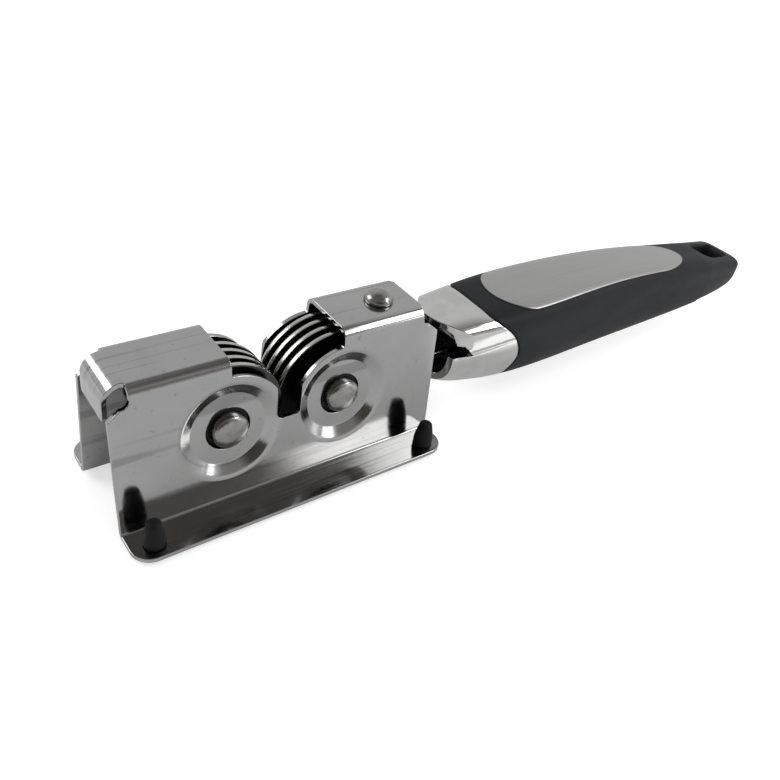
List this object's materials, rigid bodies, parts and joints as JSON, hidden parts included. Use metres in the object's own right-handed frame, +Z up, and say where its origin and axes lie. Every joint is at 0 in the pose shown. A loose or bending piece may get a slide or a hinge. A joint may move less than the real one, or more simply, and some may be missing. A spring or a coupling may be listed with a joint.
{
  "type": "knife sharpener",
  "caption": "Hand-held roller knife sharpener: folded sheet head with interleaved discs under a knife slot, push-in feet, and a soft-grip handle with an inlay plate and a hang hole.",
  "frame": {"origin": "centre of the bounding box seen from above, on the plane that the foot pads stand on", "axes": "+X from the head to the tip of the handle, +Z up, the front wall of the head on the -Y side"},
  "size_m": [0.1898, 0.0356, 0.0344],
  "materials": {
    "chrome_sheet": "polished folded steel sheet with fine draw lines",
    "disc_steel": "ground sharpening steel",
    "pin_steel": "plain steel, slightly mottled",
    "plated_collar": "moulded plastic with bright chrome plating",
    "satin_inlay": "satin brushed along the handle",
    "black_nylon": "moulded black",
    "hard_core": "moulded dark grey",
    "soft_grip": "soft-touch dark grey",
    "foot_rubber": "matt black"
  },
  "bodies": {
    "frame": {"housing": "chrome_sheet", "left_front_bush": "black_nylon", "left_rear_bush": "black_nylon", "right_front_bush": "black_nylon", "right_rear_bush": "black_nylon", "front_left_foot": "foot_rubber", "front_right_foot": "foot_rubber", "rear_left_foot": "foot_rubber", "rear_right_foot": "foot_rubber", "tang": "pin_steel", "tang_rivet": "pin_steel", "bolster": "plated_collar", "grip_core": "hard_core", "grip_sleeve": "soft_grip", "inlay_plate": "satin_inlay"},
    "left_roller": {"left_axle": "pin_steel", "left_disc_1": "disc_steel", "left_disc_2": "disc_steel", "left_disc_3": "disc_steel", "left_disc_4": "disc_steel", "left_spacer_1": "black_nylon", "left_spacer_2": "black_nylon", "left_spacer_3": "black_nylon", "left_front_collar": "black_nylon", "left_rear_collar": "black_nylon"},
    "right_roller": {"right_axle": "pin_steel", "right_disc_1": "disc_steel", "right_disc_2": "disc_steel", "right_disc_3": "disc_steel", "right_disc_4": "disc_steel", "right_spacer_1": "black_nylon", "right_spacer_2": "black_nylon", "right_spacer_3": "black_nylon", "right_front_collar": "black_nylon", "right_rear_collar": "black_nylon"}
  },
  "joints": [
    {"name": "left_roller_spin", "type": "hinge", "parent": "frame", "child": "left_roller", "pos_m": [-0.07265, 0, 0.0172], "axis": [0, 1, 0], "continuous": true},
    {"name": "right_roller_spin", "type": "hinge", "parent": "frame", "child": "right_roller", "pos_m": [-0.04795, 0, 0.0172], "axis": [0, 1, 0], "continuous": true}
  ]
}
